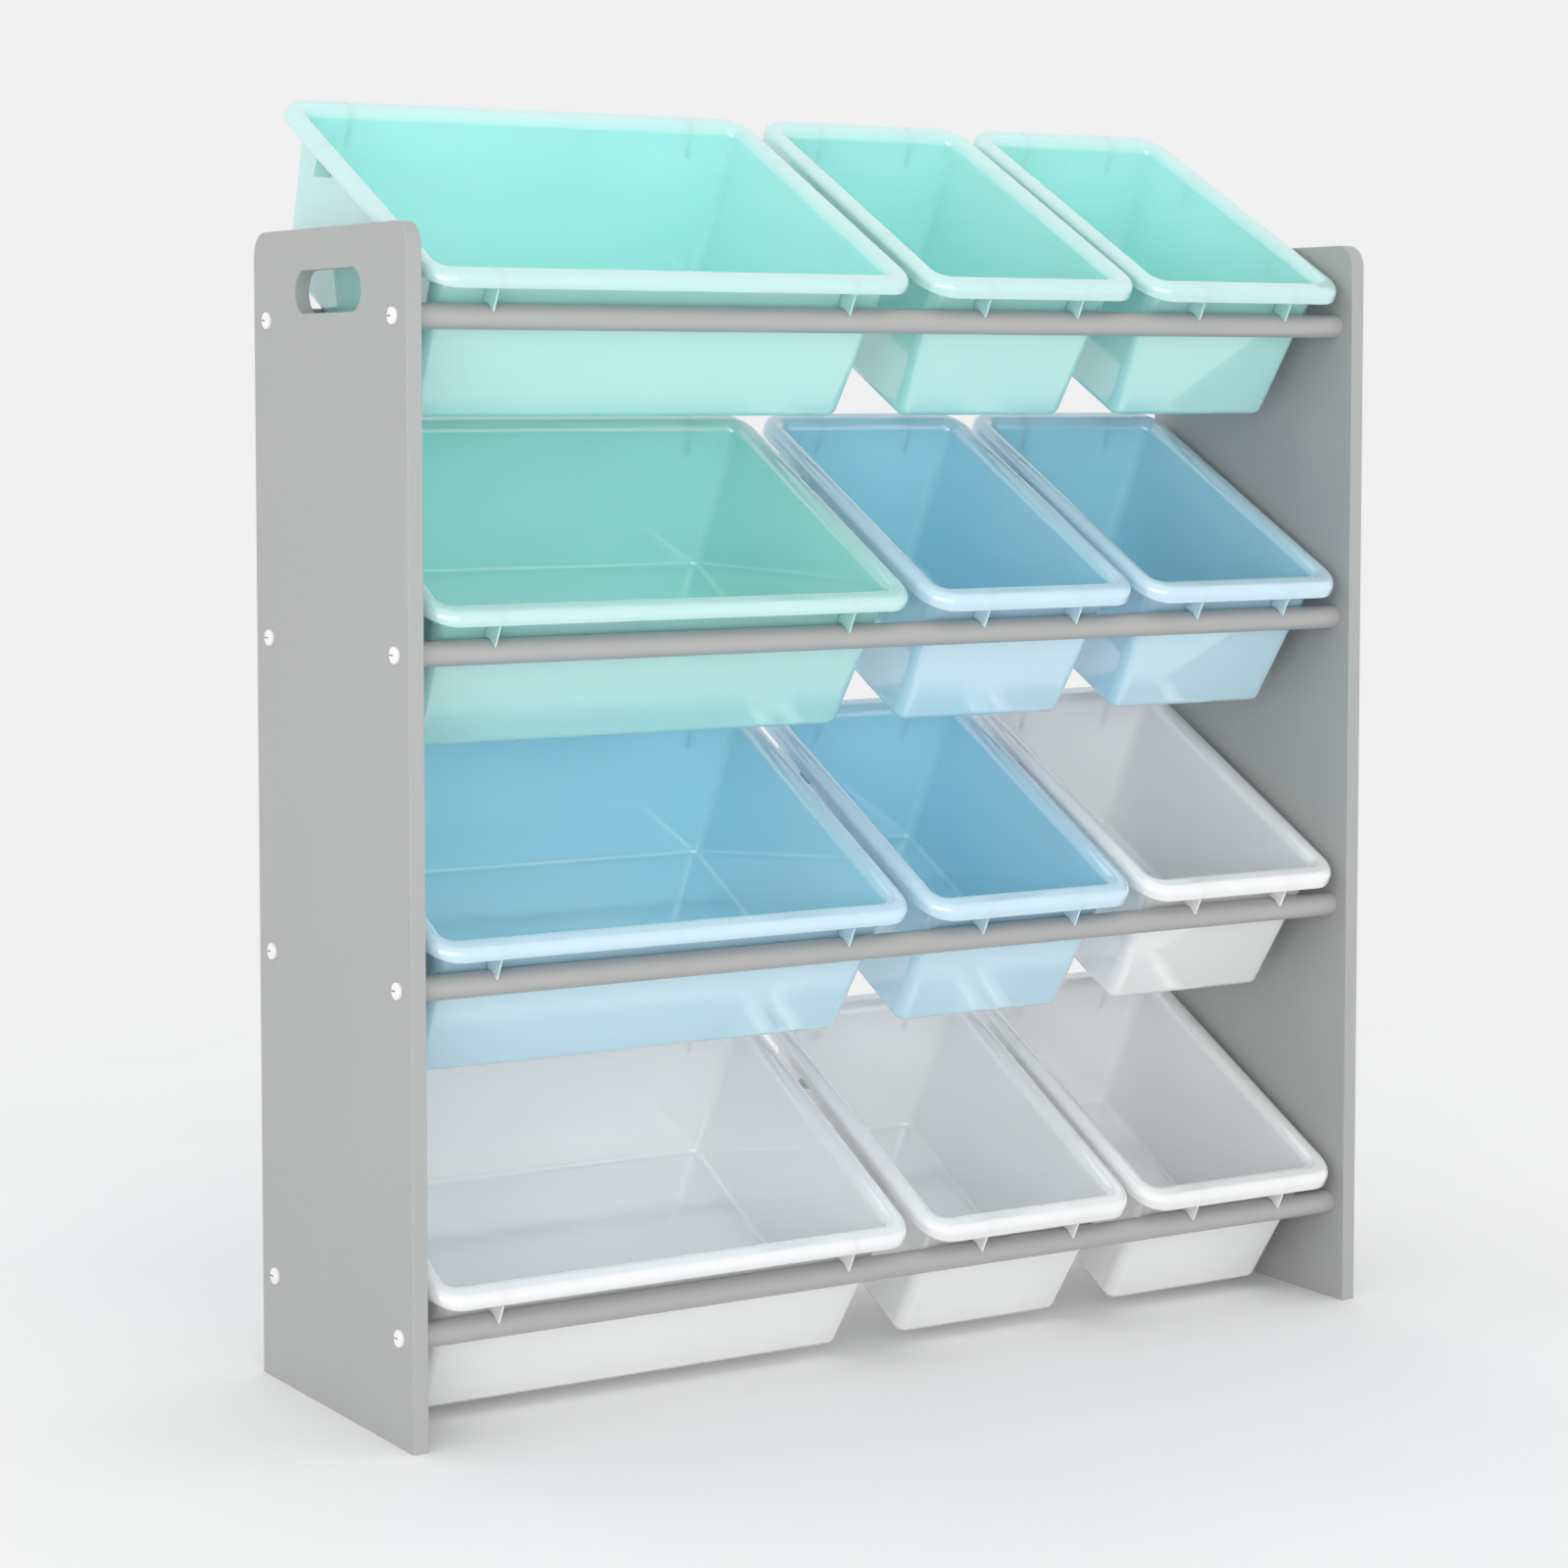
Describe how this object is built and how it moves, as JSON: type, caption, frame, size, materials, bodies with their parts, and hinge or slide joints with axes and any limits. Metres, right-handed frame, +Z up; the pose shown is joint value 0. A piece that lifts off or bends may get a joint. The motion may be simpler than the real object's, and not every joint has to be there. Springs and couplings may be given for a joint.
{
  "type": "toy storage rack",
  "caption": "Open toy storage rack: grey side panels with hand slots, round rails, and tilted lift-out plastic bins in mint, blue and white.",
  "frame": {"origin": "on the floor, in the middle of the space that the rack and its bins take up", "axes": "+X to the right seen from the front, +Y to the rear, +Z up"},
  "size_m": [0.8552, 0.2936, 0.9574],
  "materials": {
    "bin_mint": "glossy, slightly translucent moulded plastic",
    "bin_blue": "glossy, slightly translucent moulded plastic",
    "bin_white": "glossy moulded plastic",
    "panel_grey": "fibre board in smooth satin grey paint",
    "rail_grey": "satin grey paint on steel tube",
    "bolt_white": "satin white paint on steel",
    "plug_black": "moulded, matt"
  },
  "bodies": {
    "rack": {"left_side_panel": "panel_grey", "left_rail_bolts": "bolt_white", "left_rail_plugs": "plug_black", "right_side_panel": "panel_grey", "right_rail_bolts": "bolt_white", "right_rail_plugs": "plug_black", "bottom_front_rail": "rail_grey", "bottom_rear_rail": "rail_grey", "lower_front_rail": "rail_grey", "lower_rear_rail": "rail_grey", "upper_front_rail": "rail_grey", "upper_rear_rail": "rail_grey", "top_front_rail": "rail_grey", "top_rear_rail": "rail_grey"},
    "bottom_large_bin": {"bottom_large_bin": "bin_white"},
    "bottom_middle_bin": {"bottom_middle_bin": "bin_white"},
    "bottom_right_bin": {"bottom_right_bin": "bin_white"},
    "lower_large_bin": {"lower_large_bin": "bin_blue"},
    "lower_middle_bin": {"lower_middle_bin": "bin_blue"},
    "lower_right_bin": {"lower_right_bin": "bin_white"},
    "upper_large_bin": {"upper_large_bin": "bin_mint"},
    "upper_middle_bin": {"upper_middle_bin": "bin_blue"},
    "upper_right_bin": {"upper_right_bin": "bin_blue"},
    "top_large_bin": {"top_large_bin": "bin_mint"},
    "top_middle_bin": {"top_middle_bin": "bin_mint"},
    "top_right_bin": {"top_right_bin": "bin_mint"}
  },
  "joints": [
    {"name": "bottom_large_bin_tip", "type": "hinge", "parent": "rack", "child": "bottom_large_bin", "pos_m": [-0.2065, 0.09203, 0.0785], "axis": [-1, 0, 0], "range_deg": [0, 28]},
    {"name": "bottom_middle_bin_tip", "type": "hinge", "parent": "rack", "child": "bottom_middle_bin", "pos_m": [0.105, 0.09203, 0.0785], "axis": [-1, 0, 0], "range_deg": [0, 28]},
    {"name": "bottom_right_bin_tip", "type": "hinge", "parent": "rack", "child": "bottom_right_bin", "pos_m": [0.3087, 0.09203, 0.0785], "axis": [-1, 0, 0], "range_deg": [0, 28]},
    {"name": "lower_large_bin_tip", "type": "hinge", "parent": "rack", "child": "lower_large_bin", "pos_m": [-0.2065, 0.09203, 0.324], "axis": [-1, 0, 0], "range_deg": [0, 28]},
    {"name": "lower_middle_bin_tip", "type": "hinge", "parent": "rack", "child": "lower_middle_bin", "pos_m": [0.105, 0.09203, 0.324], "axis": [-1, 0, 0], "range_deg": [0, 28]},
    {"name": "lower_right_bin_tip", "type": "hinge", "parent": "rack", "child": "lower_right_bin", "pos_m": [0.3087, 0.09203, 0.324], "axis": [-1, 0, 0], "range_deg": [0, 28]},
    {"name": "upper_large_bin_tip", "type": "hinge", "parent": "rack", "child": "upper_large_bin", "pos_m": [-0.2065, 0.09203, 0.5585], "axis": [-1, 0, 0], "range_deg": [0, 28]},
    {"name": "upper_middle_bin_tip", "type": "hinge", "parent": "rack", "child": "upper_middle_bin", "pos_m": [0.105, 0.09203, 0.5585], "axis": [-1, 0, 0], "range_deg": [0, 28]},
    {"name": "upper_right_bin_tip", "type": "hinge", "parent": "rack", "child": "upper_right_bin", "pos_m": [0.3087, 0.09203, 0.5585], "axis": [-1, 0, 0], "range_deg": [0, 28]},
    {"name": "top_large_bin_lift", "type": "slide", "parent": "rack", "child": "top_large_bin", "axis": [0, 0, 1], "range_m": [0, 0.15]},
    {"name": "top_middle_bin_lift", "type": "slide", "parent": "rack", "child": "top_middle_bin", "axis": [0, 0, 1], "range_m": [0, 0.15]},
    {"name": "top_right_bin_lift", "type": "slide", "parent": "rack", "child": "top_right_bin", "axis": [0, 0, 1], "range_m": [0, 0.15]}
  ]
}
